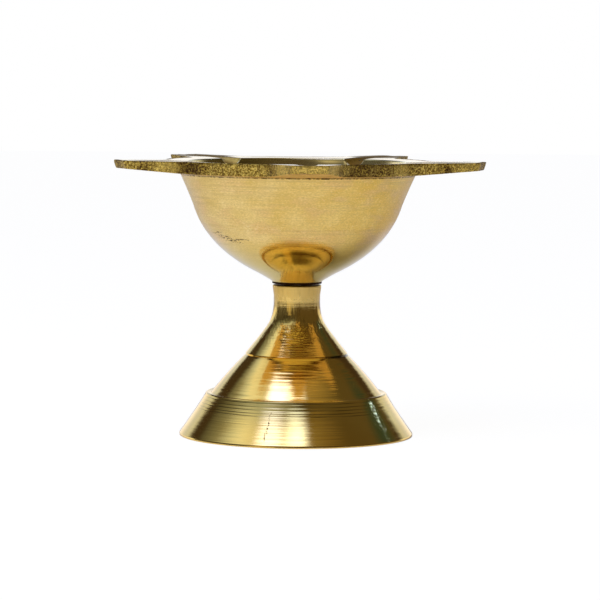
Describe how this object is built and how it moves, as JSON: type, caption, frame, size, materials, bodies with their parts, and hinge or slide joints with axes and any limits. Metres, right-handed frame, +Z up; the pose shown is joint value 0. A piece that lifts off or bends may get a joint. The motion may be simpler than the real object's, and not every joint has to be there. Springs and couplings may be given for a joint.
{
  "type": "standing oil lamp",
  "caption": "Small brass oil lamp on a hollow flared foot: a round bowl whose flat rim runs out in wick spouts unscrews from the stand.",
  "frame": {"origin": "on the table plane, under the middle of the rim's bounding box; the turning axis of stand, stud and bowl stands 2.54 mm behind it, at +Y", "axes": "+Z up along the lamp's turning axis; -Y is the direction of one spout, the one that faces the picture's camera; +X to the right seen from there"},
  "size_m": [0.0742, 0.0706, 0.0557],
  "materials": {
    "polished_brass": "bright polish with fine turning lines",
    "rod_brass": "machined rod, slightly dull",
    "satin_brass": "satin turned wall and rim face, rough cast rim edge"
  },
  "bodies": {
    "stand": {"stand": "polished_brass"},
    "stud": {"screw_stud": "rod_brass"},
    "bowl": {"spouted_bowl": "satin_brass"}
  },
  "joints": [
    {"name": "lift", "type": "slide", "parent": "stand", "child": "stud", "axis": [0, 0, 1], "range_m": [0, 0.005]},
    {"name": "turn", "type": "hinge", "parent": "stud", "child": "bowl", "pos_m": [0, 0.00254, 0.0307], "axis": [0, 0, 1], "range_deg": [0, 1800]}
  ],
  "couplings": [
    {"joint": "lift", "follows": "turn", "m_per_rad": 0.00015915}
  ]
}
